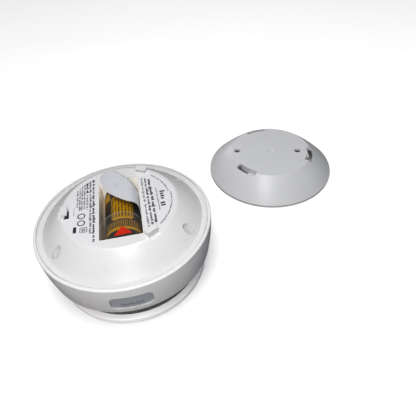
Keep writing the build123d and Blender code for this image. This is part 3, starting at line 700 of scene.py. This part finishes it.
def film_rim_highlight(materials):
    """The tongue's cut edge along its rounded end, as a pale bead: the edge is real, its pale colour a
    painted highlight where it catches the light.
    """
    bm = bmesh.new()
    centre = Vector((0.0, FILM_TIP_Y, FILM_TOP - FILM_RIM_SUNK))
    points = []
    for i in range(FILM_RIM_STEPS + 1):
        angle = radians(FILM_RIM_FROM + (FILM_RIM_TO - FILM_RIM_FROM) * i / FILM_RIM_STEPS)
        points.append(centre + FILM_TIP_R * Vector((cos(angle), sin(angle), 0.0)))
    tube_along(bm, points, FILM_RIM_R)
    smooth(piece("pull_tab_film_rim", bm, materials["film_edge"], "pull_tab"))


def on_top_of(name, x, y):
    """The highest point of a CAD node at (x, y), or None beside it."""
    node = NODES[name]
    back = node.matrix_world.inverted()
    above = back @ Vector((x, y, 1.0))
    hit, where, _, _ = node.ray_cast(above, back.to_3x3() @ Vector((0, 0, -1)))
    return node.matrix_world @ where if hit else None


# points just inside the leaf's far edge, in mm
LEAF_EDGE = ((8.6, 8.6), (7.6, 10.3), (6.3, 12.4), (4.3, 15.0), (2.2, 17.6), (0.0, 20.2), (-1.8, 22.1))
LEAF_EDGE_R = 0.2 * MM
LEAF_EDGE_OUT = Vector((0.20, 0.15, 0.0)) * MM            # from the leaf's face to beyond its cut side


def leaf_shadow_line(materials):
    """A dark bead along the leaf's far edge: a painted shadow for the gap beneath the raised leaf. It stays
    level with the leaf's face.
    """
    bm = bmesh.new()
    found = [on_top_of("pull_tab_leaf", x * MM, y * MM) for x, y in LEAF_EDGE]
    beside = LEAF_EDGE_OUT - Vector((0.0, 0.0, LEAF_EDGE_R))
    points = [point + beside for point in found if point is not None]
    tube_along(bm, points, LEAF_EDGE_R)
    smooth(piece("pull_tab_leaf_shadow_line", bm, materials["leaf_shadow_line"], "pull_tab"))


# ---- the button's small generic marks ----
# each mark's place across the button, half its width and half its height, in mm
BUTTON_MARKS = (
    (-4.6, 0.3, 0.8),
    (-3.1, 0.45, 0.8),
    (-1.6, 0.45, 0.8),
    (-0.1, 0.3, 0.8),
    (1.4, 0.45, 0.55),
    (2.7, 0.45, 0.8),
    (4.2, 0.3, 0.8),
)
MARK_BELOW = 1.0 * MM        # how far below the button's middle they sit
MARK_PROUD = 0.03 * MM
MARK_SUNK = 0.3 * MM


def button_marks(materials):
    """Small upright strokes, moulded proud of the button's lower half."""
    low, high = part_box("test_button")
    middle_z = (low.z + high.z) / 2 - MARK_BELOW
    curve_r = -low.y
    bm = bmesh.new()
    for x, half_w, half_h in BUTTON_MARKS:
        rings = []
        for sunk in (-MARK_PROUD, MARK_SUNK):
            ring = []
            for side, rise in ((-half_w, -half_h), (half_w, -half_h), (half_w, half_h), (-half_w, half_h)):
                across = (x + side) * MM
                face_y = -((curve_r ** 2 - across ** 2) ** 0.5)
                ring.append(bm.verts.new((across, face_y + sunk, middle_z + rise * MM)))
            rings.append(ring)
        front, back = rings
        bm.faces.new(front)
        bm.faces.new(back[::-1])
        for k in range(4):
            j = (k + 1) % 4
            bm.faces.new((front[k], back[k], back[j], front[j]))
    piece("test_button_marks", bm, materials["button_print"], "button")


def smooth(obj, angle=radians(35)):
    """Smooth shading, with creases kept where faces meet at more than the angle."""
    for face in obj.data.polygons:
        face.use_smooth = True
    obj.data.set_sharp_from_angle(angle=angle)


# ---- floor, lights, camera ----
FLOOR_REACH = 1.6
FLOOR_GAP = 0.02 * MM


def make_floor():
    """A wide pale floor. It gives the object no bounce, so that the studio lights alone shade it."""
    bm = bmesh.new()
    level = CAD_LOW.z - FLOOR_GAP
    corners = ((-1, -1), (1, -1), (1, 1), (-1, 1))
    bm.faces.new([bm.verts.new((x * FLOOR_REACH, y * FLOOR_REACH, level)) for x, y in corners])
    mesh = bpy.data.meshes.new("floor")
    bm.to_mesh(mesh)
    bm.free()
    look = Shading("floor_pale")
    cloud = look.spread(look.noise(0.3), 0.0, 1.0)
    look.set(Base_Color=look.blend(cloud, (0.87, 0.87, 0.87), (0.9, 0.9, 0.9)), Roughness=0.7)
    mesh.materials.append(look.material)
    floor = bpy.data.objects.new("floor", mesh)
    floor.visible_diffuse = False
    floor.visible_glossy = False
    bpy.context.scene.collection.objects.link(floor)
    return floor


def area_light(name, at, aim, size, power, tint):
    data = bpy.data.lights.new(name, "AREA")
    data.shape = "DISK"
    data.size = size
    data.energy = power
    data.color = tint
    lamp = bpy.data.objects.new(name, data)
    lamp.location = at
    lamp.rotation_euler = (Vector(aim) - Vector(at)).to_track_quat("-Z", "Y").to_euler()
    bpy.context.scene.collection.objects.link(lamp)
    return lamp


def light_only(lamp, objects):
    """Limits a light to some objects."""
    lit = bpy.data.collections.new(lamp.name + "_lit")
    for lit_object in objects:
        lit.objects.link(lit_object)
    lamp.light_linking.receiver_collection = lit


WARM = (1.0, 0.965, 0.94)
PLAIN = (1.0, 1.0, 1.0)
COOL = (0.86, 0.92, 1.0)
# name, place, the point it faces, width, power in watts, tint
LIGHTS = (
    ("key", (0.0, -0.14, 0.27), (0.0, 0.0, 0.03), 0.10, 0.16, PLAIN),
    ("high", (0.0, -0.10, 0.42), (0.0, 0.0, 0.03), 0.20, 0.75, PLAIN),
    ("top_left", (-0.15, 0.0, 0.58), (0.0, 0.0, 0.0), 0.40, 0.25, WARM),
    ("top_right", (0.21, 0.0, 0.58), (0.06, 0.0, 0.0), 0.40, 0.25, COOL),
    ("low", (-0.02, -0.20, 0.16), (0.0, 0.0, 0.03), 0.12, 0.05, PLAIN),
    ("front", (-0.05, -0.60, 0.35), (0.0, 0.0, 0.03), 0.40, 0.78, PLAIN),
)
AMBIENT = 0.06
FLOOR_SUN = 2.6
FLOOR_SUN_WIDTH = 130        # degrees across
FLOOR_SUN_TILT = (-18, 8, 0)


def floor_sun(floor):
    """A wide soft sun that lights the floor alone, and lets the object shade it."""
    data = bpy.data.lights.new("floor_sun", "SUN")
    data.energy = FLOOR_SUN
    data.angle = radians(FLOOR_SUN_WIDTH)
    lamp = bpy.data.objects.new("floor_sun", data)
    lamp.rotation_euler = [radians(angle) for angle in FLOOR_SUN_TILT]
    bpy.context.scene.collection.objects.link(lamp)
    light_only(lamp, [floor])


NOSE = ("nose_cap",)
WALL = ("outer_shell", "test_button")
BRACKET = ("mounting_bracket",)
ALL_ROUND = ("outer_shell", "nose_cap", "mounting_bracket")
# name, place, the point it faces, width, power in watts, tint, the nodes it lights
FILLS = (
    ("nose_fill", (-0.17, -0.36, 0.10), (0.0, 0.0, 0.0), 0.30, 1.1, WARM, NOSE),
    ("nose_side", (0.30, -0.26, 0.10), (0.0, 0.0, 0.0), 0.30, 0.3, COOL, NOSE),
    ("wall_fill", (-0.20, -0.35, 0.10), (0.0, 0.0, 0.02), 0.20, 0.34, WARM, WALL),
    ("wall_side", (0.34, -0.20, 0.10), (0.0, 0.0, 0.02), 0.20, 0.15, COOL, WALL),
    ("bracket_fill", (-0.22, -0.25, 0.10), (0.09, 0.06, 0.0), 0.20, 0.16, WARM, BRACKET),
    ("back_fill", (0.0, 0.45, 0.16), (0.03, 0.03, 0.0), 0.30, 0.6, PLAIN, ALL_ROUND),
)


def make_fills():
    """Low lights that reach only the nodes that the shell would shade."""
    for *setting, lit_nodes in FILLS:
        light_only(area_light(*setting), [NODES[node] for node in lit_nodes])


def make_lights(floor):
    make_fills()
    for setting in LIGHTS:
        area_light(*setting)
    floor_sun(floor)
    world = bpy.data.worlds.new("studio")
    world.use_nodes = True
    sky = world.node_tree.nodes["Background"]
    sky.inputs["Color"].default_value = (0.98, 0.98, 1.0, 1.0)
    sky.inputs["Strength"].default_value = AMBIENT
    bpy.context.scene.world = world


def make_camera():
    """The camera from its bearing, tilt and roll."""
    azimuth, down, roll = (radians(a) for a in (CAMERA_AZIMUTH, CAMERA_DOWN, CAMERA_ROLL))
    ahead = Vector((sin(azimuth) * cos(down), cos(azimuth) * cos(down), -sin(down)))
    level = Vector((cos(azimuth), -sin(azimuth), 0.0))
    upright = level.cross(ahead)
    right = level * cos(roll) + upright * sin(roll)
    up = upright * cos(roll) - level * sin(roll)
    data = bpy.data.cameras.new("camera")
    data.lens = LENS_MM
    data.sensor_width = SENSOR_MM
    data.clip_start = 0.005
    camera = bpy.data.objects.new("camera", data)
    facing = Matrix((right, up, -ahead)).transposed().to_4x4()
    camera.matrix_world = Matrix.Translation(CAMERA_AT) @ facing
    bpy.context.scene.collection.objects.link(camera)
    bpy.context.scene.camera = camera


materials = make_materials()
dress_nodes(materials)
left_label_print(materials)
right_label_print(materials)
film_rim_highlight(materials)
leaf_shadow_line(materials)
button_marks(materials)
make_lights(make_floor())
make_camera()
bpy.context.scene.view_settings.view_transform = "Standard"
